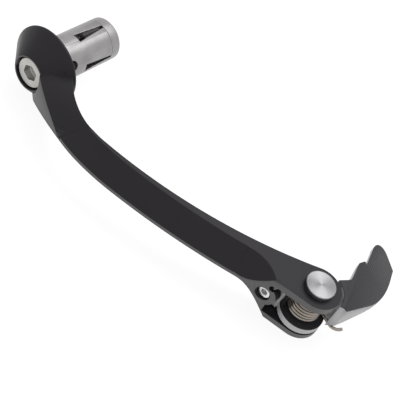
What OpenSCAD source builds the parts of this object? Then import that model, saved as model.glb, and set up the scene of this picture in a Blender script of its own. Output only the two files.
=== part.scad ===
// Bar-end brake lever guard with a sprung folding tip.
// X runs along the handlebar axis and points outboard, Y points forward, Z points up.
// The origin is on the handlebar axis, at the rear face of the clamp head.

/* [Clamp head] */
// Diameter of the big rear rim of the cone
rim_d = 32.8; // [29:0.2:39]
// Diameter of the small front rim of the cone
nose_d = 15.2; // [15:0.1:18]
// Length of the head from its rear face to the small rim
head_len = 10.3; // [9.8:0.1:12.5]
// Width of the straight edge on the big rim
rim_edge = 0.7; // [0.4:0.1:1.2]

/* [Clamp bolt and expander] */
// Nominal diameter of the clamp bolt
bolt_d = 8; // [7:0.5:8.5]
// Diameter of the bolt head
bolt_head_d = 12.6; // [12.2:0.1:13]
// Height of the low bolt head
bolt_head_h = 5; // [4.5:0.1:5.5]
// Width across flats of the bolt's hexagon socket
bolt_hex = 6; // [5:0.5:6]
// Depth of the bolt's hexagon socket
bolt_hex_depth = 3.2; // [2.5:0.1:3.6]
// Depth of the bolt head below the small rim
bolt_sink = 0.8; // [0.4:0.1:1.2]
// Thickness of the lock washer under the bolt head
lock_t = 2; // [1.6:0.1:2.2]
// Diameter of the relaxed expander sleeve
sleeve_d = 18; // [17.4:0.1:18.6]
// Length of the expander sleeve
sleeve_len = 27.5; // [25:0.5:34]
// Length of the solid collar of the sleeve, before its slots start
sleeve_solid = 13; // [12:0.5:15]
// Number of slots in the sleeve
slot_count = 4; // [3:1:6]
// Width of each slot at its wide end
slot_wide = 4; // [3.5:0.1:5]
// Width of each slot at its narrow end
slot_narrow = 1; // [0.8:0.1:2.4]
// Diameter of the cross hole in the solid collar
port_d = 5; // [4:0.5:6]
// Length of the bolt under its head
bolt_len = 35; // [34:0.5:37]
// Length of the wedge nut's flange behind the sleeve
nut_flange = 5.5; // [5:0.5:7]
// Length of the wedge nut's cone inside the sleeve
nut_cone = 8; // [6:0.5:9]

/* [Arm] */
// Height of the arm along Z
arm_h = 21; // [19:0.5:25]
// Outboard distance of the elbow from the head's rear face
elbow_x = 22.4; // [21:0.2:25]
// Forward distance of the elbow from the handlebar axis
elbow_y = 41.5; // [38:0.5:46]
// Width of the arm at the elbow
elbow_w = 7; // [6:0.2:8]
// Radius of the outer edge beside the head
head_arc_r = 62; // [56:1:66]
// Radius of the outer edge at the elbow
elbow_r = 100; // [80:1:125]
// Turn of the outer edge at the elbow, in degrees
elbow_turn = 9.5; // [8:0.5:11]
// Radius of the long outer edge
outer_r = 300; // [270:5:360]
// Turn of the long outer edge, in degrees
outer_turn = 10.6; // [9.5:0.1:11.5]
// Radius of the concave outer edge beside the fork
flare_r = 52; // [44:1:62]
// Angle of the fork's outer side to the Y axis, in degrees
fork_angle = 12.5; // [11:0.5:14]
// Length of the straight outer side of the fork
fork_side = 21.7; // [20:0.1:24]
// Radius of the inner edge at the elbow
inner_elbow_r = 33; // [31:0.5:35]
// Radius of the long inner edge
inner_r = 205; // [190:5:230]
// Horizontal width of the upper bevel along the outer edge
bevel_run = 5.8; // [5:0.1:6.2]
// Horizontal width over which the lower bevel falls the same height
bevel_low = 9; // [8:0.1:10]
// Height of the narrow band left between the bevels
band_h = 1.6; // [1.2:0.1:2.4]
// Radius of the cutter tip that ends the bevels at the fork
runout_r = 9; // [7:0.5:10]

/* [Fork and pivot] */
// Radius of the round fork ears about the pivot
ear_r = 9.2; // [8.8:0.1:10]
// Thickness of the upper ear
upper_ear = 3.3; // [3:0.1:3.8]
// Thickness of the lower ear
lower_ear = 2.5; // [2.5:0.1:3.2]
// Radius of the slot between the ears
slot_r = 15.3; // [15:0.1:16]
// Diameter of the pivot pin's shank
pin_d = 7; // [6:0.5:7]
// Diameter of the pivot pin's head
pin_head_d = 12; // [11:0.5:13]
// Height of the pivot pin's head
pin_head_h = 2.2; // [1.6:0.1:2.6]

/* [Torsion spring] */
// Wire diameter
wire_d = 1.3; // [1:0.05:1.4]
// Mean radius of the coil
coil_r = 5.95; // [5.7:0.05:6.2]
// Number of full turns
coil_turns = 6; // [4:1:6]

/* [Adjuster] */
// Diameter of the adjuster, a headless screw
adj_d = 5; // [4.5:0.1:5.2]
// Width across flats of the adjuster's hexagon socket
adj_hex = 2.5; // [2:0.5:2.5]
// Diameter of the counterbore round the adjuster
adj_bore_d = 6.1; // [5.8:0.1:6.6]
// Diameter of the boss that holds the adjuster
boss_d = 10.6; // [9.6:0.2:11]

/* [Folding tip] */
// Length of the tip from the pivot to its front corner, along X
tip_reach = 43; // [40:0.2:50]
// Distance from the pivot to the tip's flat front face
tip_front = 12.2; // [12:0.1:14]
// Length of the flat front face, from beside the pivot
tip_flat = 21.3; // [20:0.5:24]
// Radius of the curved front face
tip_bow_r = 32; // [28:1:40]
// Turn of the curved front face, in degrees
tip_bow_turn = 37.5; // [30:0.5:42]
// Distance from the pivot to the top edge of the tip's bevels
tip_top = 11.65; // [11.3:0.05:12.2]
// Distance from the pivot at which the tip's two bevels would meet
tip_edge = 26.65; // [26.2:0.05:29]
// Running gap between the ears and the tip's body
tip_gap = 0.9; // [0.7:0.1:1.2]
// Step from the fin's rear face to the flange beside it
fin_step = 1.4; // [0.8:0.1:2]
// Radius of the rounded rear corner of the fin
end_r = 5.4; // [3:0.1:6]
// Rise of the blade's underside for each millimetre behind the front face
blade_climb = 0.55; // [0.4:0.01:0.6]
// Radius of the tip's thick root about the pivot
root_r = 14.5; // [14:0.1:15.5]
// Horizontal width over which the tip's lower bevel falls
tip_low = 12; // [9:0.5:14]
// Thickness of the tip's eye
eye_t = 3.2; // [3:0.1:3.6]

/* [Hidden] */
$fn = 96;
eps = 0.01;                  // overlap that joins two solids of one piece
over = 1;                    // reach of a cutting tool past a face
fit = 0.05;                  // radial running and assembly clearance
half_h = arm_h / 2;
half_band = band_h / 2;
rise = half_h - half_band;   // height of one bevel

rim_r = rim_d / 2;
nose_r = nose_d / 2;
rim_chamfer = 0.5;
head_top = head_len - bolt_sink;
seat_x = head_top - bolt_head_h;       // under the bolt head
floor_x = seat_x - lock_t;             // counterbore floor
bolt_bore_d = bolt_d + 0.6;
counterbore_d = bolt_head_d + 1.3;
lock_od = bolt_head_d + 0.1;
lock_id = bolt_d + 0.2;
lock_split = 1.2;
hex_corner = 1 / cos(30);              // corner size over flat size

sleeve_r = sleeve_d / 2;
wedge_mouth_r = sleeve_r - 2;          // sleeve cone at its open end
wedge_slope = 0.2;                     // radius lost per length of cone
port_x = -5.3;
port_angle = 25;
nut_r = sleeve_r;                      // the nut goes into the same bore as the sleeve
nut_round = 1.2;

// Arc centres of the arm's outer edge, from the head to the fork.
turn_1 = elbow_turn;
turn_2 = elbow_turn + outer_turn;
head_c = [elbow_x - head_arc_r, elbow_y];
elbow_c = [elbow_x - elbow_r, elbow_y];
long_c = elbow_c + (elbow_r - outer_r) * unit(turn_1);
flare_c = long_c + (outer_r + flare_r) * unit(turn_2);
flare_end = flare_c - flare_r * unit(fork_angle);
side_end = flare_end + fork_side * unit(fork_angle + 90);
pivot = side_end - ear_r * unit(fork_angle);

// Arc centres of the arm's inner edge.
inner_c = [elbow_x - elbow_w - inner_elbow_r, elbow_y - 0.5];
hollow_c = meet(inner_c, inner_r - inner_elbow_r, pivot, inner_r + ear_r);
hollow_a = angle_of(inner_c - hollow_c);
ear_a = angle_of(pivot - hollow_c);
inner_foot_a = -47;                    // where the inner edge turns into the head
inner_foot = 3.8;                      // reach of the arm's root into the cone, along X and Y
bevel_a0 = -12;                        // where the upper bevel starts
lead_a = -8.5;                          // where the lower bevel starts to narrow the band
runout_a = 2.2;                        // turn of the flare before the bevels end
bevel_lead = 36;

// Round that blends the cone into the arm; its axis rises away from the head.
blend_r = 18.7;
blend_at = [elbow_x - 18.1, elbow_y - 17.7, -7.9];
blend_tilt = 18.5;
blend_turn = 9;
blend_drop = 1.6;                              // how much fuller the underside is
blend_end = [elbow_x - 1.6, elbow_y - 9.8];    // where it meets the bevel's outer edge
blend_end_d = [-0.61, 0.79];                   // and the direction of that line

// Fork: the slot between the ears, and what is stacked in it.
slot_top = half_h - upper_ear;
slot_low = -half_h + lower_ear;
washer_t = 0.5;
washer_d = 14;
eye_low = slot_low + washer_t;
eye_top = eye_low + eye_t;
eye_r = ear_r - 0.1;
bush_d = pin_d + 2;
guide_d = 2 * coil_r - wire_d - 0.8;
end_play = 0.1;
pin_end = -half_h - 2.3;
clip_t = 0.8;
clip_groove_r = pin_d / 2 - 0.5;
clip_r = pin_d / 2 + 2;
clip_z = -half_h - end_play - clip_t;

// Torsion spring: legs and coil, about the pivot.
wire_r = wire_d / 2;
coil_low = eye_top + wire_r + fit;
coil_high = slot_top - wire_r - fit;
hook_hole_d = wire_d + 1.3;
hook_at = [11.2, -11.1];               // fixed leg, in the fork's web
hook_z = slot_top - 2;
hook_depth = 6;                        // depth of the leg's hole in the web
leg_bend = [-3.2, 11.8];               // moving leg, in front of the tip
leg_end = [[-3.45, 13.0], [-4.1, 14.1], [-5.0, 14.9], [-6.1, 15.4]];
hook_a = tangent_angle(hook_at, -1);
leg_a = tangent_angle(leg_bend, 1);
lay = (hook_a - leg_a + 720) % 360;
coil_angle = 360 * coil_turns + lay;
coil_steps = 18 * coil_turns;
wire_sides = 8;

// Adjuster and the heel that it stops.
adj_y = -13.1;                         // from the pivot
adj_at = [pivot.x, pivot.y + adj_y, 0];
web_x = sqrt(slot_r * slot_r - adj_y * adj_y);   // web behind the boss
adj_tip_x = web_x - 1.3;               // inner end, where it meets the heel
adj_face_x = web_x + 3.8;              // outer face of the web
adj_sink = 1;
adj_recess = 0.4;                      // outer end of the screw below that face
adj_reach = adj_face_x + 6;            // outer end of the cutting tools
heel_x = adj_tip_x - fit;
heel_w = 6.8;
heel_r = slot_r - 0.5;
heel_top = 2.5;
heel_y = -coil_r - wire_r - 0.7;

// Tip: front face as a line, an arc and a line, about the pivot.
front_n = unit(90 - fork_angle);
front_d = unit(180 - fork_angle);
bow_start = tip_front * front_n + tip_flat * front_d;
bow_c = bow_start - tip_bow_r * front_n;
end_a = 90 - fork_angle + tip_bow_turn;
end_d = unit(end_a + 90);
bow_end = bow_c + tip_bow_r * unit(end_a);
tip_corner = bow_end + end_d * (tip_reach + bow_end.x) / -end_d.x;
body_r = ear_r + tip_gap;
body_a0 = 95;                          // the body's round back faces the ears from here
body_a1 = 166;                         // to here
neck_turn = 15;                        // width of the neck that joins the eye to the body
neck_lap = 2;                          // turn by which the neck stops short of body_a1
flange_round = 0.6;
leg_slot = [8, 3];                     // length and extra width of the moving leg's groove
end_step = 4.9;                        // front face starts this far past the pivot
bevel_a = 109;                         // direction in which the tip's bevels fall
bevel_n = unit(bevel_a);
fin_at = tip_top + fin_step;           // rear face of the fin, from the pivot
end_u = unit(-91);                     // end edge, from the front corner to the rear
end_corner = tip_corner + end_u * (fin_at - tip_corner * bevel_n) / (end_u * bevel_n);
bow_cuts = 6;                          // plane cuts that follow the curved front face
flange_x = -26.8;
flange_end = [flange_x, (fin_at - flange_x * bevel_n.x) / bevel_n.y];
flange_tail = [-26.3, 3.3];
flange_mid = [-23.6, 2.5];
notch_at = [-14.5, 5.4];
notch_r = 2;

function unit(a) = [cos(a), sin(a)];
function angle_of(v) = atan2(v.y, v.x);

// Points on an arc, at most step degrees apart.
function arc(c, r, a0, a1, step = 2) =
    let (n = ceil(abs(a1 - a0) / step))
    [for (i = [0:n]) c + r * unit(a0 + (a1 - a0) * i / n)];

// Where two circles meet, on the side towards -X.
function meet(c0, r0, c1, r1) =
    let (
        d = norm(c1 - c0),
        a = (r0 * r0 - r1 * r1 + d * d) / (2 * d),
        h = sqrt(r0 * r0 - a * a),
        u = (c1 - c0) / d
    )
    c0 + a * u + h * [-u.y, u.x];

// Angle at which a wire from point p touches the coil.
function tangent_angle(p, side) = angle_of(p) + side * acos(coil_r / norm(p));

// Plan outline of the arm, from the head's nose round the fork and back.
function arm_outline() = concat(
    [[floor_x, 0], [head_len - over, 0]],
    arc(head_c, head_arc_r, -acos((head_len - head_c.x) / head_arc_r), 0),
    arc(elbow_c, elbow_r, 0.8, turn_1, 1.2),
    arc(long_c, outer_r, turn_1 + 0.8, turn_2, 0.8),
    arc(flare_c, flare_r, 180 + turn_2 - 1.5, 180 + fork_angle),
    arc(pivot, ear_r, fork_angle, 180 + ear_a, 4),
    arc(hollow_c, inner_r, ear_a - 1, hollow_a, 1),
    arc(inner_c, inner_elbow_r, hollow_a - 2, inner_foot_a, 3),
    [inner_c + inner_elbow_r * unit(inner_foot_a) - inner_foot * [1, 1]]
);

// Section of the tool that cuts a bevel along an arc: the material lies inside radius r.
module bevel_section(r, run) {
    slope = rise / run;
    polygon([
        [r - run - over, half_h + over * slope],
        [r + over / 2, half_band - over / 2 * slope],
        [r + 3 * over, half_band - over / 2 * slope],
        [r + 3 * over, half_h + over * slope],
    ]);
}

// The same tool for a hollow arc: the material lies outside radius r.
module hollow_bevel_section(r, run) {
    slope = rise / run;
    polygon([
        [r + run + over, half_h + over * slope],
        [r - over / 2, half_band - over / 2 * slope],
        [r - 3 * over, half_band - over / 2 * slope],
        [r - 3 * over, half_h + over * slope],
    ]);
}

module bevel_ring(c, r, run, a0, a1) {
    translate([c.x, c.y, 0])
        rotate_extrude(angle = a1 - a0, start = a0)
            bevel_section(r, run);
}

// Straight bevel tool: from point p, heading back along direction a, outward to its right.
// It starts a little ahead of p, so that it runs into the ring that it continues.
module bevel_bar(p, a, run, len) {
    translate([p.x, p.y, 0])
        rotate([0, 0, a - 90])
            translate([0, over, 0])
                rotate([90, 0, 0])
                    linear_extrude(len + over)
                        bevel_section(0, run);
}

module arm_bevels(run, a0) {
    slope = rise / run;
    runout_c = flare_c + (flare_r - runout_r) * unit(180 + turn_2 - runout_a);
    bevel_ring(head_c, head_arc_r, run, a0, 0);
    bevel_ring(elbow_c, elbow_r, run, 0, turn_1);
    bevel_ring(long_c, outer_r, run, turn_1, turn_2);
    translate([flare_c.x, flare_c.y, 0])
        rotate_extrude(angle = runout_a, start = 180 + turn_2 - runout_a)
            hollow_bevel_section(flare_r, run);
    translate([runout_c.x, runout_c.y, half_band - over / 2 * slope])
        cylinder(h = rise + over * slope * 1.5, r1 = runout_r - over / 2,
            r2 = runout_r + run + over);
}

// Tool that leaves the arm round beside the head.
module arm_blend(lift) {
    difference() {
        linear_extrude(half_h + over)
            polygon([
                [-rim_r, 0],
                [elbow_x + over, 0],
                blend_end - blend_end_d * (over + elbow_x - blend_end.x) / -blend_end_d.x,
                blend_end + blend_end_d * (blend_end.x + rim_r) / -blend_end_d.x,
            ]);
        translate(blend_at + [0, 0, lift])
            rotate([blend_tilt - 90, 0, blend_turn])
                cylinder(h = 4 * elbow_y, r = blend_r, center = true);
    }
}

module head_cone() {
    rotate([0, 90, 0])
        rotate_extrude()
            polygon([
                [0, 0],
                [rim_r - rim_chamfer, 0],
                [rim_r, rim_chamfer],
                [rim_r, rim_chamfer + rim_edge],
                [nose_r, head_len],
                [0, head_len],
            ]);
}

module x_cylinder(x0, x1, d) {
    translate([x0, 0, 0])
        rotate([0, 90, 0])
            cylinder(h = x1 - x0, d = d);
}

// Slot between the ears, with the boss for the adjuster left standing.
module fork_slot() {
    difference() {
        translate([pivot.x, pivot.y, slot_low])
            cylinder(h = slot_top - slot_low, r = slot_r);
        translate(adj_at)
            x_cylinder(web_x, slot_r + over, boss_d);
    }
}

module arm() {
    color("#26272a")
    difference() {
        union() {
            head_cone();
            difference() {
                translate([0, 0, -half_h])
                    linear_extrude(arm_h)
                        polygon(arm_outline());
                arm_bevels(bevel_run, bevel_a0);
                arm_blend(0);
                mirror([0, 0, 1]) {
                    arm_blend(blend_drop);
                    arm_bevels(bevel_low, lead_a);
                    bevel_bar(head_c + head_arc_r * unit(lead_a), 90 + lead_a, bevel_low,
                        bevel_lead);
                }
                x_cylinder(head_len, elbow_x + over, nose_d);
            }
        }
        x_cylinder(-over, head_len + over, bolt_bore_d);
        x_cylinder(floor_x, head_len + over, counterbore_d);
        fork_slot();
        translate([pivot.x, pivot.y, -half_h - over])
            cylinder(h = arm_h + 2 * over, d = pin_d + 2 * fit);
        translate(adj_at) {
            x_cylinder(0, adj_reach, adj_d + 2 * fit);
            x_cylinder(adj_face_x - adj_sink, adj_reach, adj_bore_d);
        }
        translate([pivot.x, pivot.y + hook_at.y, hook_z])
            x_cylinder(hook_at.x - hook_depth, hook_at.x + hook_depth, hook_hole_d);
    }
}

module clamp_bolt() {
    color("#c9cacc")
    difference() {
        union() {
            x_cylinder(seat_x - bolt_len, seat_x + eps, bolt_d);
            x_cylinder(seat_x, head_top, bolt_head_d);
        }
        translate([head_top - bolt_hex_depth, 0, 0])
            rotate([0, 90, 0])
                cylinder(h = bolt_hex_depth + over, d = bolt_hex * hex_corner, $fn = 6);
    }
}

module lock_washer() {
    color("#b5b6b8")
    difference() {
        x_cylinder(floor_x, seat_x, lock_od);
        x_cylinder(floor_x - over, seat_x + over, lock_id);
        translate([floor_x - over, -lock_split / 2, 0])
            cube([lock_t + 2 * over, lock_split, lock_od]);
    }
}

module expander_sleeve() {
    mouth = wedge_mouth_r + fit;
    color("#dcdde0")
    difference() {
        rotate([180 / slot_count, 0, 0])
            x_cylinder(-sleeve_len, 0, sleeve_d);
        x_cylinder(-sleeve_len - over, over, bolt_bore_d);
        translate([-sleeve_len - over, 0, 0])
            rotate([0, 90, 0])
                cylinder(h = over + nut_cone + 2, r1 = mouth + over * wedge_slope,
                    r2 = mouth - (nut_cone + 2) * wedge_slope);
        for (i = [0:slot_count - 1])
            rotate([360 / slot_count * i, 0, 0])
                linear_extrude(sleeve_d)
                    polygon([
                        [-sleeve_solid, slot_wide / 2],
                        [-sleeve_solid, -slot_wide / 2],
                        [-sleeve_len - over, -slot_narrow / 2],
                        [-sleeve_len - over, slot_narrow / 2],
                    ]);
        translate([port_x, 0, 0])
            rotate([port_angle - 90, 0, 0])
                cylinder(h = sleeve_d, d = port_d);
    }
}

module wedge_nut() {
    color("#d3d4d8")
    difference() {
        translate([-sleeve_len, 0, 0])
            rotate([0, 90, 0])
                union() {
                    translate([0, 0, nut_round - nut_flange])
                        cylinder(h = nut_flange - nut_round, r = nut_r);
                    translate([0, 0, -nut_flange])
                        cylinder(h = nut_round, r1 = nut_r - nut_round, r2 = nut_r);
                    cylinder(h = nut_cone, r1 = wedge_mouth_r,
                        r2 = wedge_mouth_r - nut_cone * wedge_slope);
                }
        x_cylinder(-sleeve_len - nut_flange - over, over, bolt_d + 2 * fit);
    }
}

module at_pivot(z) {
    translate([pivot.x, pivot.y, z]) children();
}

module pivot_pin() {
    color("#c4c4c6")
    difference() {
        union() {
            at_pivot(pin_end) cylinder(h = half_h - pin_end + eps, d = pin_d);
            at_pivot(half_h) cylinder(h = pin_head_h, d = pin_head_d);
        }
        at_pivot(clip_z - end_play / 2)
            difference() {
                cylinder(h = clip_t + end_play, d = pin_d + over);
                translate([0, 0, -over]) cylinder(h = clip_t + 2 * over, r = clip_groove_r);
            }
    }
}

module pin_clip() {
    color("#4a4b4e")
    at_pivot(clip_z)
        difference() {
            cylinder(h = clip_t, r = clip_r);
            translate([0, 0, -over]) cylinder(h = clip_t + 2 * over, r = clip_groove_r + fit);
            translate([0, -clip_groove_r + 0.4, -over])
                cube([clip_r + over, 2 * clip_groove_r - 0.8, clip_t + 2 * over]);
        }
}

module thrust_washer() {
    color("#d8d2c4")
    at_pivot(slot_low)
        difference() {
            cylinder(h = washer_t, d = washer_d);
            translate([0, 0, -over]) cylinder(h = washer_t + 2 * over, d = pin_d + 4 * fit);
        }
}

module tip_bush() {
    color("#b08d4f")
    at_pivot(eye_low)
        difference() {
            cylinder(h = eye_t, d = bush_d);
            translate([0, 0, -over]) cylinder(h = eye_t + 2 * over, d = pin_d + 2 * fit);
        }
}

module spring_guide() {
    color("#1d1d1f")
    at_pivot(eye_top + end_play / 2)
        difference() {
            cylinder(h = slot_top - eye_top - end_play, d = guide_d);
            translate([0, 0, -over]) cylinder(h = arm_h, d = pin_d + 2 * fit);
        }
}

// Centre line of the spring, from the fixed leg down the coil to the moving leg.
function spring_path() = concat(
    [[hook_at.x, hook_at.y, hook_z]],
    [for (i = [0:coil_steps]) let (s = i / coil_steps, a = hook_a - coil_angle * s)
        [coil_r * cos(a), coil_r * sin(a), coil_high + (coil_low - coil_high) * s]],
    [[leg_bend.x, leg_bend.y, coil_low]],
    [for (p = leg_end) [p.x, p.y, coil_low]]
);

// A round wire swept along a path that stays nearly level.
module wire(path) {
    last = len(path) - 1;
    rings = [for (i = [0:last])
        let (
            t = path[min(i + 1, last)] - path[max(i - 1, 0)],
            side = cross(t, [0, 0, 1]) / norm(cross(t, [0, 0, 1])),
            up = cross(side, t) / norm(t)
        )
        for (k = [0:wire_sides - 1])
            path[i] + wire_r * (cos(360 / wire_sides * k) * side + sin(360 / wire_sides * k) * up)];
    skin = [for (i = [0:last - 1], k = [0:wire_sides - 1])
        let (n = (k + 1) % wire_sides, b = i * wire_sides)
        [b + k, b + wire_sides + k, b + wire_sides + n, b + n]];
    first_cap = [for (k = [0:wire_sides - 1]) k];
    last_cap = [for (k = [0:wire_sides - 1]) (last + 1) * wire_sides - 1 - k];
    polyhedron(rings, concat(skin, [first_cap, last_cap]));
}

module torsion_spring() {
    color("#8d7b62")
    at_pivot(0) wire(spring_path());
}

module adjuster_screw() {
    color("#c6c7ca")
    translate(adj_at)
        difference() {
            x_cylinder(adj_tip_x, adj_face_x - adj_recess, adj_d);
            translate([adj_face_x - adj_recess - adj_hex, 0, 0])
                rotate([0, 90, 0])
                    cylinder(h = adj_hex + over, d = adj_hex * hex_corner, $fn = 6);
        }
}

// Points on the round that replaces corner p, between directions u and v.
function round_corner(p, u, v, r) =
    let (
        half = (180 - acos(u * v)) / 2,
        c = p + (u + v) / norm(u + v) * r / cos(half),
        side = cross([u.x, u.y, 0], [v.x, v.y, 0]).z > 0 ? 1 : -1,
        a0 = angle_of(u) - 90 * side
    )
    arc(c, r, a0, a0 - 2 * half * side, 12);

function toward(p, q) = (q - p) / norm(q - p);

// Plan outline of the tip's body, about the pivot.
function tip_outline() = concat(
    arc([0, 0], body_r, body_a1, body_a0, 5),
    [tip_front * front_n + end_step * front_d],
    arc(bow_c, tip_bow_r, 90 - fork_angle, end_a, 2.5),
    [tip_corner],
    round_corner(end_corner, -end_u, toward(end_corner, flange_end), end_r),
    [flange_end],
    round_corner(flange_tail, toward(flange_tail, flange_end), toward(flange_tail, flange_mid),
        flange_round),
    [flange_mid],
    round_corner(notch_at, toward(notch_at, flange_mid),
        toward(notch_at, body_r * unit(body_a1)), notch_r)
);

// Plane tool for one bevel of the tip.
module tip_bevel() {
    drop = half_h / (tip_edge - tip_top);
    reach = tip_reach + ear_r;
    rotate([0, 0, bevel_a])
        rotate([90, 0, 0])
            linear_extrude(2 * reach, center = true)
                polygon([
                    [tip_top - over, half_h + over * drop],
                    [tip_edge + over, -over * drop],
                    [tip_edge + over, half_h + over * drop],
                ]);
}

// Plane tools that follow the front face under the tip.
module tip_low_bevels() {
    for (i = [0:bow_cuts]) {
        a = 90 - fork_angle + tip_bow_turn * i / bow_cuts;
        bevel_bar(bow_c + tip_bow_r * unit(a) + tip_reach * unit(a + 90), a + 90,
            tip_low, 2 * tip_reach);
    }
}

// Tool that leaves the blade thin behind, outside the root.
module blade_underside() {
    deep = tip_edge + tip_reach;
    difference() {
        intersection_for(a = [90 - fork_angle, 90 - fork_angle + tip_bow_turn / 2, end_a])
            translate([bow_c.x, bow_c.y, 0])
                rotate([0, 0, a])
                    rotate([90, 0, 0])
                        linear_extrude(3 * tip_reach, center = true)
                            polygon([
                                [tip_bow_r + 4, -half_band - 4 * blade_climb],
                                [tip_bow_r - deep, deep * blade_climb - half_band],
                                [tip_bow_r - deep, -half_h - over],
                                [tip_bow_r + 4, -half_h - over],
                            ]);
        translate([0, 0, -half_h - 2 * over])
            cylinder(h = 2 * arm_h, r = root_r);
    }
}

// Stop that meets the adjuster, standing on the eye inside the fork.
module heel() {
    intersection() {
        translate([0, 0, eye_low])
            cylinder(h = heel_top - eye_low, r = heel_r);
        translate([heel_x - heel_w, -slot_r, eye_low])
            cube([heel_w, slot_r + heel_y, heel_top - eye_low]);
    }
}

module folding_tip() {
    color("#2c2d30")
    at_pivot(0)
        difference() {
            union() {
                difference() {
                    translate([0, 0, -half_h])
                        linear_extrude(arm_h)
                            polygon(tip_outline());
                    tip_bevel();
                    mirror([0, 0, 1]) tip_low_bevels();
                    blade_underside();
                }
                translate([0, 0, eye_low])
                    cylinder(h = eye_t, r = eye_r);
                translate([0, 0, eye_low])
                    rotate_extrude(angle = neck_turn, start = body_a1 - neck_lap - neck_turn)
                        translate([bush_d / 2 + over, 0])
                            square([body_r - bush_d / 2, eye_t]);
                heel();
            }
            translate([0, 0, eye_low - over])
                cylinder(h = eye_t + 2 * over, d = bush_d);
            translate([leg_bend.x, leg_bend.y, coil_low - wire_r - fit])
                rotate([0, 0, leg_a - 180])
                    translate([-wire_r - fit, -leg_slot.x * 5 / 8, 0])
                        cube([wire_d + leg_slot.y, leg_slot.x, wire_d + 2 * fit]);
        }
}

arm();
clamp_bolt();
lock_washer();
expander_sleeve();
wedge_nut();
pivot_pin();
pin_clip();
thrust_washer();
tip_bush();
spring_guide();
torsion_spring();
adjuster_screw();
folding_tip();
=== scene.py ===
import bpy
import math
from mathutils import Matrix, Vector
from mathutils.bvhtree import BVHTree


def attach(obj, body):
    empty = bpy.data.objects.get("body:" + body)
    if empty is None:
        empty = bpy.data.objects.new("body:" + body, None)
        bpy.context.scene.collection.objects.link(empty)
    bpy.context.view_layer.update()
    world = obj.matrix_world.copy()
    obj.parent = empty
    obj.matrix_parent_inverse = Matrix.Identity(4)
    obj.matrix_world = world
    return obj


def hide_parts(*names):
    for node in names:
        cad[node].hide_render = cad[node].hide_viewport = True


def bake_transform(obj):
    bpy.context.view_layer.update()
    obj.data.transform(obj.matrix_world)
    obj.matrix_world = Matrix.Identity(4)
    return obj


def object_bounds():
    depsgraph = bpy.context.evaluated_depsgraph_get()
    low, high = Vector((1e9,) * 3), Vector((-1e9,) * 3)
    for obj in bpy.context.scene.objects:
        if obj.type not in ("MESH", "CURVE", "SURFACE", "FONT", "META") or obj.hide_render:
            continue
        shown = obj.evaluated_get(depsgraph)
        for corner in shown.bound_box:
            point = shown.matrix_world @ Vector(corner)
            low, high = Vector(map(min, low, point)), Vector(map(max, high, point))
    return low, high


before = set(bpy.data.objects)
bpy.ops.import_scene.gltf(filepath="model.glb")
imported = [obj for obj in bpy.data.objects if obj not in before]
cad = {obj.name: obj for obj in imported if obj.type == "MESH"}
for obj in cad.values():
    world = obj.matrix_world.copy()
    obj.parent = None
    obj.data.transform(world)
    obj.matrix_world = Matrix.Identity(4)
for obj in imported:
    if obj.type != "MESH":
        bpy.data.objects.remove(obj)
cad_low, cad_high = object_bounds()


# ---------------------------------------------------------------------------
# Guard arm. One piece of aluminium plate, milled to a long bow with a sloping
# upper face, a cone at one end for the handlebar and a fork at the other.
# The whole piece is anodised satin black, and its sharp corners are broken.

flat_turn = math.radians(0.4)       # faces that turn less than this become one face
sharp_turn = math.radians(28)       # corners that turn more than this are broken
smooth_turn = math.radians(24)      # corners that turn less than this are shaded as round
stray_share = 0.75                  # a point further out than this share of the corner is a stray


def take_solid(node, name, corner, edge_finish=0, merge=2e-5):
    """A copy of a solid as clean faces, with its sharp corners broken by the given width."""
    bpy.ops.object.select_all(action="DESELECT")
    piece = cad[node].copy()
    piece.data = cad[node].data.copy()
    piece.name = piece.data.name = name
    bpy.context.scene.collection.objects.link(piece)
    for key in [k for k in piece.keys() if k.startswith("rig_")]:
        del piece[key]
    piece.parent = None
    piece.data.materials.clear()
    bpy.context.view_layer.objects.active = piece
    piece.select_set(True)
    bpy.ops.object.mode_set(mode="EDIT")
    bpy.ops.mesh.select_all(action="SELECT")
    bpy.ops.mesh.remove_doubles(threshold=merge)
    bpy.ops.mesh.dissolve_limited(angle_limit=flat_turn)
    bpy.ops.object.mode_set(mode="OBJECT")
    surface = BVHTree.FromPolygons([v.co for v in piece.data.vertices],
                                   [tuple(f.vertices) for f in piece.data.polygons])
    broken = piece.modifiers.new("broken corners", "BEVEL")
    broken.width = corner
    broken.segments = 2
    broken.limit_method = "ANGLE"
    broken.angle_limit = sharp_turn
    broken.use_clamp_overlap = False
    broken.miter_outer = "MITER_ARC"
    broken.material = edge_finish
    bpy.ops.object.modifier_apply(modifier=broken.name)
    for vertex in piece.data.vertices:      # points thrown out at a sliver go back to the surface
        near, _, _, away = surface.find_nearest(vertex.co)
        if away > stray_share * corner:
            vertex.co = near
    bpy.ops.object.shade_smooth_by_angle(angle=smooth_turn)
    return piece


def new_finish(name):
    """An empty material with its shader, ready for its own nodes."""
    finish = bpy.data.materials.new(name)
    finish.use_nodes = True
    nodes, links = finish.node_tree.nodes, finish.node_tree.links
    return finish, nodes, links, nodes["Principled BSDF"]


def new_effect(name, inputs, outputs):
    """An empty node group with named number inputs and outputs."""
    group = bpy.data.node_groups.new(name, "ShaderNodeTree")
    for label, value in inputs.items():
        socket = group.interface.new_socket(label, in_out="INPUT", socket_type="NodeSocketFloat")
        socket.default_value = value
    for label in outputs:
        group.interface.new_socket(label, in_out="OUTPUT", socket_type="NodeSocketFloat")
    start = group.nodes.new("NodeGroupInput")
    end = group.nodes.new("NodeGroupOutput")
    return group, group.nodes, group.links, start, end


def place_effect(nodes, group, **values):
    """Puts a node group in a material with its own values."""
    node = nodes.new("ShaderNodeGroup")
    node.node_tree = group
    for label, value in values.items():
        node.inputs[label.replace("_", " ")].default_value = value
    return node


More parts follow.
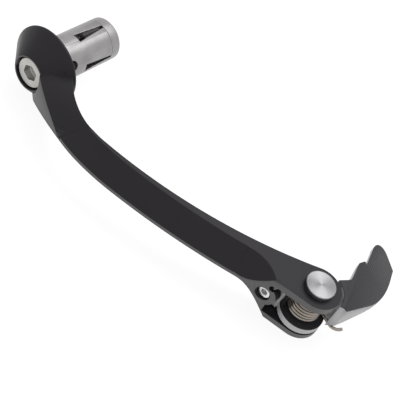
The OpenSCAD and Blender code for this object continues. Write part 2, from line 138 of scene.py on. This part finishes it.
def mix_tint(nodes, links, share, dark, light):
    """A colour that goes from dark to light with the given share."""
    tint = nodes.new("ShaderNodeMix"); tint.data_type = "RGBA"
    tint.inputs["A"].default_value = (*dark, 1)
    tint.inputs["B"].default_value = (*light, 1)
    links.new(share, tint.inputs["Factor"])
    return tint.outputs["Result"]


def vary_rough(nodes, links, shader, grain, low, high):
    """Roughness that goes from low to high with the grain."""
    rough = nodes.new("ShaderNodeMapRange")
    rough.inputs["To Min"].default_value = low
    rough.inputs["To Max"].default_value = high
    links.new(grain, rough.inputs["Value"])
    links.new(rough.outputs["Result"], shader.inputs["Roughness"])


# Anodised skin: a fine blasted grain with broad, faint clouds of colour.
blasted, nodes, links, start, end = new_effect(
    "blasted grain", {"Grain per metre": 4200.0, "Clouds per metre": 55.0}, ["Grain", "Clouds"])
where = nodes.new("ShaderNodeTexCoord")
grain = nodes.new("ShaderNodeTexNoise")
grain.inputs["Detail"].default_value = 3.0
clouds = nodes.new("ShaderNodeTexNoise")
clouds.inputs["Detail"].default_value = 2.0
for texture, label in ((grain, "Grain"), (clouds, "Clouds")):
    links.new(where.outputs["Object"], texture.inputs["Vector"])
    links.new(start.outputs[label + " per metre"], texture.inputs["Scale"])
    links.new(texture.outputs["Fac"], end.inputs[label])

# Painted wall sheen share: 1 on upright walls, where a paler colour is painted on as a painted reflection
# of the white surroundings, and 0 on slopes.
upright, nodes, links, start, end = new_effect("painted wall sheen share", {"Steepest slope": 0.34}, ["Share"])
where = nodes.new("ShaderNodeTexCoord")
split = nodes.new("ShaderNodeSeparateXYZ")
links.new(where.outputs["Normal"], split.inputs["Vector"])
level = nodes.new("ShaderNodeMath"); level.operation = "ABSOLUTE"
links.new(split.outputs["Z"], level.inputs[0])
share = nodes.new("ShaderNodeMapRange"); share.interpolation_type = "SMOOTHSTEP"
share.inputs["To Min"].default_value = 1.0
share.inputs["To Max"].default_value = 0.0
links.new(level.outputs["Value"], share.inputs["Value"])
links.new(start.outputs["Steepest slope"], share.inputs["From Max"])
links.new(share.outputs["Result"], end.inputs["Share"])

# Cutter lines: level ridges left by the milling cutter, a small step apart in height.
cutter, nodes, links, start, end = new_effect(
    "cutter lines", {"Step": 0.0009, "Waver": 0.00008}, ["Ridge"])
where = nodes.new("ShaderNodeTexCoord")
split = nodes.new("ShaderNodeSeparateXYZ")
links.new(where.outputs["Object"], split.inputs["Vector"])
waver = nodes.new("ShaderNodeTexNoise")
waver.inputs["Scale"].default_value = 140.0
links.new(where.outputs["Object"], waver.inputs["Vector"])
shift = nodes.new("ShaderNodeMath"); shift.operation = "MULTIPLY"
links.new(waver.outputs["Fac"], shift.inputs[0])
links.new(start.outputs["Waver"], shift.inputs[1])
height = nodes.new("ShaderNodeMath"); height.operation = "ADD"
links.new(split.outputs["Z"], height.inputs[0])
links.new(shift.outputs["Value"], height.inputs[1])
steps = nodes.new("ShaderNodeMath"); steps.operation = "DIVIDE"
links.new(height.outputs["Value"], steps.inputs[0])
links.new(start.outputs["Step"], steps.inputs[1])
ridge = nodes.new("ShaderNodeMath"); ridge.operation = "PINGPONG"
ridge.inputs[1].default_value = 0.5
links.new(steps.outputs["Value"], ridge.inputs[0])
links.new(ridge.outputs["Value"], end.inputs["Ridge"])


satin_gloss = 0.22                  # reflection of the sealed skin, as a specular level


def anodised(name, dark, light, wall, rough_low, rough_high, line_step, line_depth, grain_depth):
    """Black anodised aluminium with cutter lines, and with the wall colour painted on its upright walls as
    a painted reflection of the white surroundings.
    """
    finish, nodes, links, shader = new_finish(name)
    skin = place_effect(nodes, blasted)
    lines = place_effect(nodes, cutter, Step=line_step)
    tint = mix_tint(nodes, links, skin.outputs["Clouds"], dark, light)
    wall_sheen_share = place_effect(nodes, upright)
    # Painted wall sheen: the wall colour is painted over the tint on upright walls, a painted reflection
    # of the white surroundings.
    painted_wall_sheen = nodes.new("ShaderNodeMix"); painted_wall_sheen.data_type = "RGBA"
    painted_wall_sheen.inputs["B"].default_value = (*wall, 1)
    links.new(wall_sheen_share.outputs["Share"], painted_wall_sheen.inputs["Factor"])
    links.new(tint, painted_wall_sheen.inputs["A"])
    links.new(painted_wall_sheen.outputs["Result"], shader.inputs["Base Color"])
    shader.inputs["Specular IOR Level"].default_value = satin_gloss
    vary_rough(nodes, links, shader, skin.outputs["Grain"], rough_low, rough_high)
    ridges = nodes.new("ShaderNodeBump")
    ridges.inputs["Distance"].default_value = line_depth
    links.new(lines.outputs["Ridge"], ridges.inputs["Height"])
    pores = nodes.new("ShaderNodeBump")
    pores.inputs["Distance"].default_value = grain_depth
    links.new(skin.outputs["Grain"], pores.inputs["Height"])
    links.new(ridges.outputs["Normal"], pores.inputs["Normal"])
    links.new(pores.outputs["Normal"], shader.inputs["Normal"])
    return finish


# The third colour of each finish is the painted wall sheen: a paler colour painted on upright walls as a
# painted reflection of the white surroundings.
arm_black = anodised(
    "satin black anodising", (0.0150, 0.0130, 0.0163), (0.0205, 0.0180, 0.0220),
    (0.16, 0.157, 0.16), 0.36, 0.48, 0.0011, 0.000006, 0.00001)
corner_black = anodised(
    "thin anodising on corners", (0.038, 0.036, 0.040), (0.058, 0.055, 0.060),
    (0.20, 0.197, 0.20), 0.28, 0.38, 0.0011, 0.00001, 0.00001)

arm = take_solid("arm", "guard_arm", 0.00010, edge_finish=1, merge=5e-5)
arm.data.materials.append(arm_black)
arm.data.materials.append(corner_black)
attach(arm, "guard")
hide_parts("arm")


# ---------------------------------------------------------------------------
# Clamp bolt and lock washer. A zinc-plated low-head cap screw with a hexagon
# socket, let into the cone's nose, with a split washer under its head.

# Turned rings: fine grooves round an axis for the bump, and a painted sheen, bright and dark sectors round
# the axis that stand in for the reflection of a turned face.
turned, nodes, links, start, end = new_effect(
    "turned rings", {"Centre X": 0.0, "Centre Y": 0.0, "Along X": 0.0, "Pitch": 0.0002}, ["Ring", "Painted sheen"])
where = nodes.new("ShaderNodeTexCoord")
split = nodes.new("ShaderNodeSeparateXYZ")
links.new(where.outputs["Object"], split.inputs["Vector"])
side = nodes.new("ShaderNodeMath"); side.operation = "SUBTRACT"
links.new(split.outputs["X"], side.inputs[0])
links.new(start.outputs["Centre X"], side.inputs[1])
pick = nodes.new("ShaderNodeMix"); pick.data_type = "FLOAT"
links.new(start.outputs["Along X"], pick.inputs["Factor"])
links.new(side.outputs["Value"], pick.inputs["A"])
links.new(split.outputs["Z"], pick.inputs["B"])
ahead = nodes.new("ShaderNodeMath"); ahead.operation = "SUBTRACT"
links.new(split.outputs["Y"], ahead.inputs[0])
links.new(start.outputs["Centre Y"], ahead.inputs[1])
flat = nodes.new("ShaderNodeCombineXYZ")
links.new(pick.outputs["Result"], flat.inputs["X"])
links.new(ahead.outputs["Value"], flat.inputs["Y"])
radius = nodes.new("ShaderNodeVectorMath"); radius.operation = "LENGTH"
links.new(flat.outputs["Vector"], radius.inputs[0])
turns = nodes.new("ShaderNodeMath"); turns.operation = "DIVIDE"
links.new(radius.outputs["Value"], turns.inputs[0])
links.new(start.outputs["Pitch"], turns.inputs[1])
ring = nodes.new("ShaderNodeMath"); ring.operation = "PINGPONG"
ring.inputs[1].default_value = 0.5
links.new(turns.outputs["Value"], ring.inputs[0])
links.new(ring.outputs["Value"], end.inputs["Ring"])
angle = nodes.new("ShaderNodeMath"); angle.operation = "ARCTAN2"
links.new(ahead.outputs["Value"], angle.inputs[0])
links.new(pick.outputs["Result"], angle.inputs[1])
fan = nodes.new("ShaderNodeMath"); fan.operation = "MULTIPLY"
fan.inputs[1].default_value = 2.0
links.new(angle.outputs["Value"], fan.inputs[0])
sweep = nodes.new("ShaderNodeMath"); sweep.operation = "SINE"
links.new(fan.outputs["Value"], sweep.inputs[0])
links.new(sweep.outputs["Value"], end.inputs["Painted sheen"])


def bright_metal(name, dark, light, rough_low, rough_high, ring_depth, painted_sheen_share=0.0, **centre):
    """Bare metal turned on a lathe: rings round an axis, grain, a little stain, and a painted sheen in
    sectors round the axis by the given share.
    """
    finish, nodes, links, shader = new_finish(name)
    shader.inputs["Metallic"].default_value = 1.0
    skin = place_effect(nodes, blasted, Grain_per_metre=2600.0, Clouds_per_metre=160.0)
    rings = place_effect(nodes, turned, **centre)
    tone = nodes.new("ShaderNodeMath"); tone.operation = "MULTIPLY_ADD"
    tone.use_clamp = True
    tone.inputs[1].default_value = painted_sheen_share
    links.new(rings.outputs["Painted sheen"], tone.inputs[0])
    links.new(skin.outputs["Clouds"], tone.inputs[2])
    tint = mix_tint(nodes, links, tone.outputs["Value"], dark, light)
    links.new(tint, shader.inputs["Base Color"])
    vary_rough(nodes, links, shader, skin.outputs["Grain"], rough_low, rough_high)
    grooves = nodes.new("ShaderNodeBump")
    grooves.inputs["Distance"].default_value = ring_depth
    links.new(rings.outputs["Ring"], grooves.inputs["Height"])
    links.new(grooves.outputs["Normal"], shader.inputs["Normal"])
    return finish


zinc = bright_metal("bright zinc plating", (0.36, 0.35, 0.33), (0.60, 0.59, 0.57),
                    0.34, 0.46, 0.000006, Along_X=1.0, Pitch=0.00045)
bolt = take_solid("clamp_bolt", "clamp_bolt_plated", 0.00035)
bolt.data.materials.append(zinc)
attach(bolt, "guard")
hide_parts("clamp_bolt")

washer = take_solid("lock_washer", "lock_washer_plated", 0.00015)
washer.data.materials.append(zinc)
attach(washer, "guard")
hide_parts("lock_washer")


# ---------------------------------------------------------------------------
# Expander sleeve and wedge nut. Both are turned from bare aluminium bar; the
# sleeve is slotted so that the nut's cone can spread it in the handlebar.

bare = bright_metal("bare turned aluminium", (0.22, 0.213, 0.216), (0.40, 0.391, 0.395),
                    0.32, 0.44, 0.000010, Along_X=1.0, Pitch=0.0003)
sleeve = take_solid("expander_sleeve", "expander_sleeve_turned", 0.00018)
sleeve.data.materials.append(bare)
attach(sleeve, "guard")
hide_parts("expander_sleeve")

nut = take_solid("wedge_nut", "wedge_nut_turned", 0.00030)
nut.data.materials.append(bare)
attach(nut, "guard")
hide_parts("wedge_nut")


# ---------------------------------------------------------------------------
# Pivot pin and its clip. A turned steel pin with a flat round head passes down
# through both ears of the fork, and a spring clip under the lower ear keeps it.

pivot_x, pivot_y = -0.008742, 0.137398
# The pin head is painted lighter and darker in sectors round its axis, a painted reflection of its turned
# face.
pin_steel = bright_metal("face-turned steel", (0.15, 0.147, 0.152), (0.33, 0.326, 0.334),
                         0.30, 0.42, 0.000012, painted_sheen_share=0.35,
                         Centre_X=pivot_x, Centre_Y=pivot_y, Pitch=0.00040)
pin = take_solid("pivot_pin", "pivot_pin_turned", 0.00025)
pin.data.materials.append(pin_steel)
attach(pin, "guard")
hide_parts("pivot_pin")

phosphate = bright_metal("dark phosphated spring steel", (0.05, 0.048, 0.045), (0.12, 0.115, 0.11),
                         0.35, 0.5, 0.000004, Centre_X=pivot_x, Centre_Y=pivot_y)
clip = take_solid("pin_clip", "pin_clip_sprung", 0.00012)
clip.data.materials.append(phosphate)
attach(clip, "guard")
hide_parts("pin_clip")


# ---------------------------------------------------------------------------
# Torsion spring. Round drawn steel wire wound in six open turns round the pin:
# the top leg is hooked in the fork's web and the bottom leg bears on the tip.

wire_radius = 0.00065
coil_radius = 0.00595
coil_top, coil_foot = 0.0065, -0.0036
turn_count = 6
turn_steps = 40
hook = Vector((0.0112, -0.0111, 0.0052))
leg_end = [(-0.0032, 0.0118), (-0.00345, 0.0130), (-0.0041, 0.0141), (-0.0050, 0.0149), (-0.0061, 0.0154)]


def touch_angle(point, way):
    """The angle at which a wire from a point runs on to the coil."""
    return math.atan2(point[1], point[0]) + way * math.acos(coil_radius / math.hypot(point[0], point[1]))


first = touch_angle(hook, -1)
last = touch_angle(leg_end[0], 1)
total = 2 * math.pi * turn_count + (first - last) % (2 * math.pi)
route = [hook]
for i in range(turn_steps * turn_count + 1):
    share = i / (turn_steps * turn_count)
    a = first - total * share
    route.append(Vector((coil_radius * math.cos(a), coil_radius * math.sin(a),
                         coil_top + (coil_foot - coil_top) * share)))
route += [Vector((x, y, coil_foot)) for x, y in leg_end]
curve = bpy.data.curves.new("torsion_spring_wire", "CURVE")
curve.dimensions = "3D"
curve.bevel_depth = wire_radius
curve.bevel_resolution = 4
curve.use_fill_caps = True
line = curve.splines.new("POLY")
line.points.add(len(route) - 1)
for point, place in zip(line.points, route):
    point.co = (place.x + pivot_x, place.y + pivot_y, place.z, 1)
spring = bpy.data.objects.new("torsion_spring_wire", curve)
bpy.context.scene.collection.objects.link(spring)
bpy.ops.object.select_all(action="DESELECT")
bpy.context.view_layer.objects.active = spring
spring.select_set(True)
bpy.ops.object.convert(target="MESH")
spring = bpy.context.view_layer.objects.active
bpy.ops.object.shade_smooth_by_angle(angle=math.radians(40))
drawn = bright_metal("drawn spring wire", (0.16, 0.14, 0.12), (0.40, 0.36, 0.32),
                     0.28, 0.42, 0.000003, Centre_X=pivot_x, Centre_Y=pivot_y, Pitch=0.0001)
spring.data.materials.append(drawn)
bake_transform(spring)
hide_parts("torsion_spring")


# ---------------------------------------------------------------------------
# Small parts on the pin: a plastic thrust washer and a guide inside the coil,
# and a bronze bush pressed in the tip's eye. They are plain bought-in parts.

def moulded(name, dark, light, rough):
    """Plain plastic with a faint moulded grain."""
    finish, nodes, links, shader = new_finish(name)
    skin = place_effect(nodes, blasted, Grain_per_metre=2500.0, Clouds_per_metre=300.0)
    tint = mix_tint(nodes, links, skin.outputs["Clouds"], dark, light)
    links.new(tint, shader.inputs["Base Color"])
    bump = nodes.new("ShaderNodeBump")
    bump.inputs["Distance"].default_value = 0.00002
    links.new(skin.outputs["Grain"], bump.inputs["Height"])
    links.new(bump.outputs["Normal"], shader.inputs["Normal"])
    shader.inputs["Roughness"].default_value = rough
    return finish


white_plastic = moulded("natural nylon", (0.62, 0.58, 0.50), (0.70, 0.66, 0.58), 0.5)
black_plastic = moulded("black nylon", (0.012, 0.012, 0.012), (0.022, 0.022, 0.022), 0.5)
bronze = bright_metal("sintered bronze", (0.40, 0.27, 0.12), (0.58, 0.42, 0.20), 0.35, 0.5, 0.000005,
                      Centre_X=pivot_x, Centre_Y=pivot_y)
for node, name, body, finish, slot in (
        ("thrust_washer", "thrust_washer_nylon", "guard", white_plastic, "washer_plastic"),
        ("spring_guide", "spring_guide_nylon", "guard", black_plastic, "guide_plastic"),
        ("tip_bush", "tip_bush_bronze", "tip", bronze, "bush_brass")):
    small = take_solid(node, name, 0.00010)
    small.data.materials.append(finish)
    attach(small, body)
    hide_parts(node)


# ---------------------------------------------------------------------------
# Adjuster. A zinc-plated headless screw in the fork's web; its inner end is
# the stop for the tip's heel, and its hexagon socket faces outboard.

adjuster = take_solid("adjuster_screw", "adjuster_screw_plated", 0.00020)
adjuster_zinc = bright_metal("adjuster zinc plating", (0.50, 0.50, 0.50), (0.85, 0.85, 0.85),
                             0.22, 0.34, 0.000004, Along_X=1.0, Centre_Y=0.1243, Pitch=0.0003)
adjuster.data.materials.append(adjuster_zinc)
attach(adjuster, "guard")
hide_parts("adjuster_screw")


# ---------------------------------------------------------------------------
# Folding tip. Milled from aluminium and anodised like the arm, but its sloping
# faces keep the level lines of the cutter. Its eye turns on the pin.

# The tip's near-white wall colour is a painted reflection of the white surroundings on its upright walls;
# the dark colours are its own black anodising.
tip_black = anodised(
    "black anodising over cutter lines", (0.033, 0.031, 0.035), (0.043, 0.040, 0.045),
    (0.62, 0.62, 0.63), 0.34, 0.46, 0.0006, 0.00007, 0.00001)
tip = take_solid("folding_tip", "folding_tip_milled", 0.00025, edge_finish=1, merge=3e-5)
tip.data.materials.append(tip_black)
tip.data.materials.append(corner_black)
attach(tip, "tip")
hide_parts("folding_tip")


# ---------------------------------------------------------------------------
# Stage: a white floor just below the piece, white surroundings, one soft lamp above, and the camera.
# The floor and the surroundings are brighter in view and in reflections than in the light they give.

floor_gap = 0.0006
floor_size = 8
floor_paint = 0.22
floor_glow, floor_glow_seen = 0.45, 0.90
world_light, world_light_seen = 0.55, 1.0
lamp_place, lamp_aim, lamp_size, lamp_power = (-0.35, 0.05, 0.75), (0.0, 0.07, 0.0), 0.6, 2.5
camera_place = (0.2615, 0.1768, 0.3075)
camera_turn = (38.559, -20.264, 133.084)        # in degrees


def seen_share(nodes, links):
    """1 for camera, glossy and transmission rays, and 0 for all others."""
    ray = nodes.new("ShaderNodeLightPath")
    share = ray.outputs["Is Camera Ray"]
    for kind in ("Is Glossy Ray", "Is Transmission Ray"):
        either = nodes.new("ShaderNodeMath"); either.operation = "MAXIMUM"
        links.new(share, either.inputs[0])
        links.new(ray.outputs[kind], either.inputs[1])
        share = either.outputs["Value"]
    return share


bpy.ops.object.select_all(action="DESELECT")
bpy.ops.mesh.primitive_plane_add(size=floor_size, location=(0, 0, cad_low.z - floor_gap))
floor = bpy.context.view_layer.objects.active
floor.name = "floor"
floor_white = bpy.data.materials.new("white sweep")
floor_white.use_nodes = True
nodes, links = floor_white.node_tree.nodes, floor_white.node_tree.links
nodes.clear()
paint = nodes.new("ShaderNodeBsdfDiffuse")
paint.inputs["Color"].default_value = (floor_paint, floor_paint, floor_paint, 1)
glow = nodes.new("ShaderNodeEmission")
level = nodes.new("ShaderNodeMapRange")
level.inputs["To Min"].default_value = floor_glow
level.inputs["To Max"].default_value = floor_glow_seen
links.new(seen_share(nodes, links), level.inputs["Value"])
links.new(level.outputs["Result"], glow.inputs["Strength"])
both = nodes.new("ShaderNodeAddShader")
out = nodes.new("ShaderNodeOutputMaterial")
links.new(paint.outputs["BSDF"], both.inputs[0])
links.new(glow.outputs["Emission"], both.inputs[1])
links.new(both.outputs["Shader"], out.inputs["Surface"])
floor.data.materials.append(floor_white)

world = bpy.data.worlds.new("white studio")
bpy.context.scene.world = world
world.use_nodes = True
nodes, links = world.node_tree.nodes, world.node_tree.links
back = nodes["Background"]
back.inputs["Color"].default_value = (1, 1, 1, 1)
strength = nodes.new("ShaderNodeMix"); strength.data_type = "FLOAT"
strength.inputs["A"].default_value = world_light
strength.inputs["B"].default_value = world_light_seen
links.new(seen_share(nodes, links), strength.inputs["Factor"])
links.new(strength.outputs["Result"], back.inputs["Strength"])

lamp = bpy.data.lights.new("overhead soft lamp", "AREA")
lamp.size = lamp_size
lamp.energy = lamp_power
stand = bpy.data.objects.new("overhead soft lamp", lamp)
bpy.context.scene.collection.objects.link(stand)
stand.location = lamp_place
stand.rotation_euler = (Vector(lamp_aim) - Vector(lamp_place)).to_track_quat("-Z", "Y").to_euler()

camera = bpy.data.objects.new("camera", bpy.data.cameras.new("camera"))
bpy.context.scene.collection.objects.link(camera)
camera.data.lens = 99
camera.data.sensor_width = 36
camera.data.clip_start = 0.01
camera.location = camera_place
camera.rotation_euler = [math.radians(a) for a in camera_turn]
bpy.context.scene.camera = camera
bpy.context.scene.view_settings.view_transform = "Standard"
